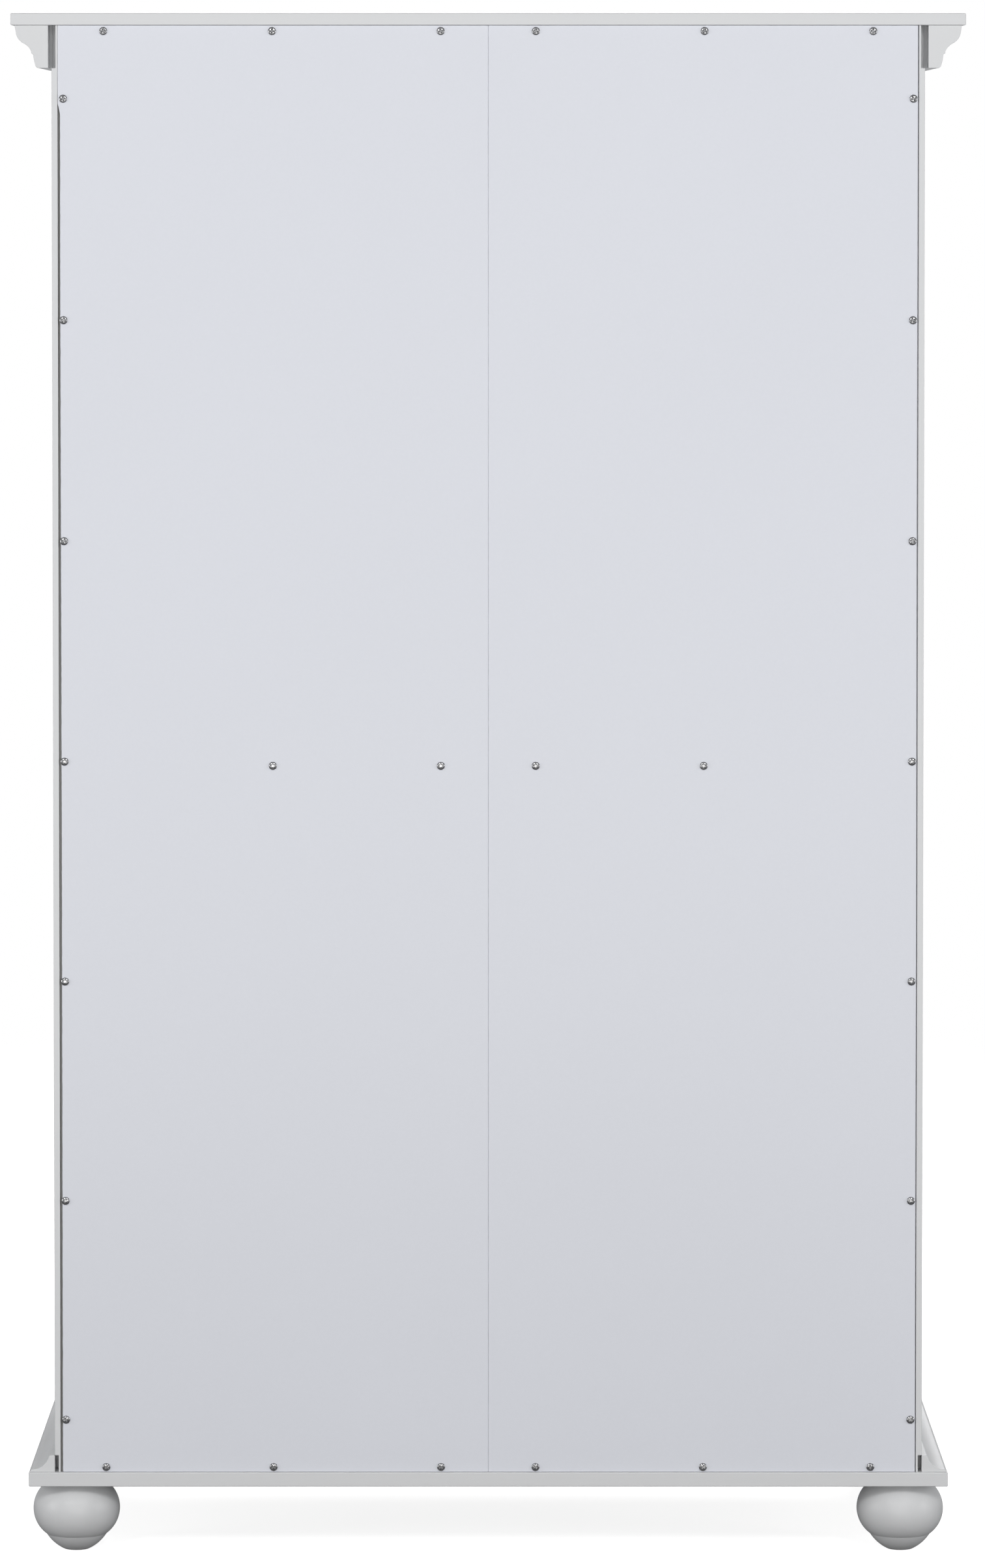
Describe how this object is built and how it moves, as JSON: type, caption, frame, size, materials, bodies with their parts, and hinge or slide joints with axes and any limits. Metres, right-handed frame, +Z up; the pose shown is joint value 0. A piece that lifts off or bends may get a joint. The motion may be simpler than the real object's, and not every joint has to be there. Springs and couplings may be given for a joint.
{
  "type": "armoire",
  "caption": "Free-standing painted armoire on bun feet, with framed doors over full-width drawers, a cornice and a screwed-on back.",
  "frame": {"origin": "on the floor, under the middle of the cornice slab", "axes": "+Z up, the doors and drawers face -Y, the screwed-on back faces +Y, left is -X"},
  "size_m": [1.124, 0.56, 1.828],
  "materials": {
    "painted_wood": "satin off-white paint",
    "painted_wood_inside": "satin off-white paint",
    "back_board": "satin off-white paint on thin board",
    "bare_wood": "planed softwood",
    "drawer_wood": "clear-lacquered birch",
    "screw_steel": "dull zinc plated",
    "zinc_steel": "zinc plated",
    "hinge_metal": "satin nickel",
    "knob_metal": "satin nickel",
    "rail_metal": "bright",
    "catch_plastic": "moulded white"
  },
  "bodies": {
    "root": {"cornice_slab": "painted_wood", "crown_moulding_left": "painted_wood", "crown_moulding_right": "painted_wood", "crown_moulding_front": "painted_wood", "base_board": "painted_wood", "base_moulding_left": "painted_wood", "base_moulding_right": "painted_wood", "base_moulding_front": "painted_wood", "foot_front_left": "painted_wood", "foot_front_right": "painted_wood", "foot_rear_left": "painted_wood", "foot_rear_right": "painted_wood", "side_frame_left": "painted_wood", "side_frame_right": "painted_wood", "side_panels_left": "painted_wood", "side_panels_right": "painted_wood", "face_stile_left": "painted_wood", "face_stile_right": "painted_wood", "face_top_rail": "painted_wood", "face_middle_rail": "painted_wood", "face_bottom_rail": "painted_wood", "drawer_rails": "painted_wood", "bottom_panel": "painted_wood_inside", "middle_panel": "painted_wood_inside", "top_panel": "painted_wood_inside", "back_panel_left": "back_board", "back_panel_right": "back_board", "back_seam_batten": "bare_wood", "runner_packers": "bare_wood", "drawer_runners": "bare_wood", "back_screws": "screw_steel", "foot_studs": "zinc_steel", "hinge_frame_leaves": "hinge_metal", "hinge_pins": "hinge_metal", "door_catches": "catch_plastic", "hanging_rail": "rail_metal", "rail_sockets": "rail_metal"},
    "door_left": {"door_left_stiles": "painted_wood", "door_left_rails": "painted_wood", "door_left_panel": "painted_wood", "door_left_knob": "knob_metal", "door_left_hardware": "hinge_metal"},
    "door_right": {"door_right_stiles": "painted_wood", "door_right_rails": "painted_wood", "door_right_panel": "painted_wood", "door_right_knob": "knob_metal", "door_right_hardware": "hinge_metal"},
    "drawer_1": {"drawer_1_front": "painted_wood", "drawer_1_box_boards": "drawer_wood", "drawer_1_bottom": "drawer_wood", "drawer_1_knobs": "knob_metal"},
    "drawer_2": {"drawer_2_front": "painted_wood", "drawer_2_box_boards": "drawer_wood", "drawer_2_bottom": "drawer_wood", "drawer_2_knobs": "knob_metal"},
    "drawer_3": {"drawer_3_front": "painted_wood", "drawer_3_box_boards": "drawer_wood", "drawer_3_bottom": "drawer_wood", "drawer_3_knobs": "knob_metal"}
  },
  "joints": [
    {"name": "door_left_hinge", "type": "hinge", "parent": "root", "child": "door_left", "pos_m": [-0.468, -0.2363, 1.346], "axis": [0, 0, -1], "range_deg": [0, 170]},
    {"name": "door_right_hinge", "type": "hinge", "parent": "root", "child": "door_right", "pos_m": [0.468, -0.2363, 1.346], "axis": [0, 0, 1], "range_deg": [0, 170]},
    {"name": "drawer_1_slide", "type": "slide", "parent": "root", "child": "drawer_1", "axis": [0, -1, 0], "range_m": [0, 0.33]},
    {"name": "drawer_2_slide", "type": "slide", "parent": "root", "child": "drawer_2", "axis": [0, -1, 0], "range_m": [0, 0.33]},
    {"name": "drawer_3_slide", "type": "slide", "parent": "root", "child": "drawer_3", "axis": [0, -1, 0], "range_m": [0, 0.33]}
  ]
}
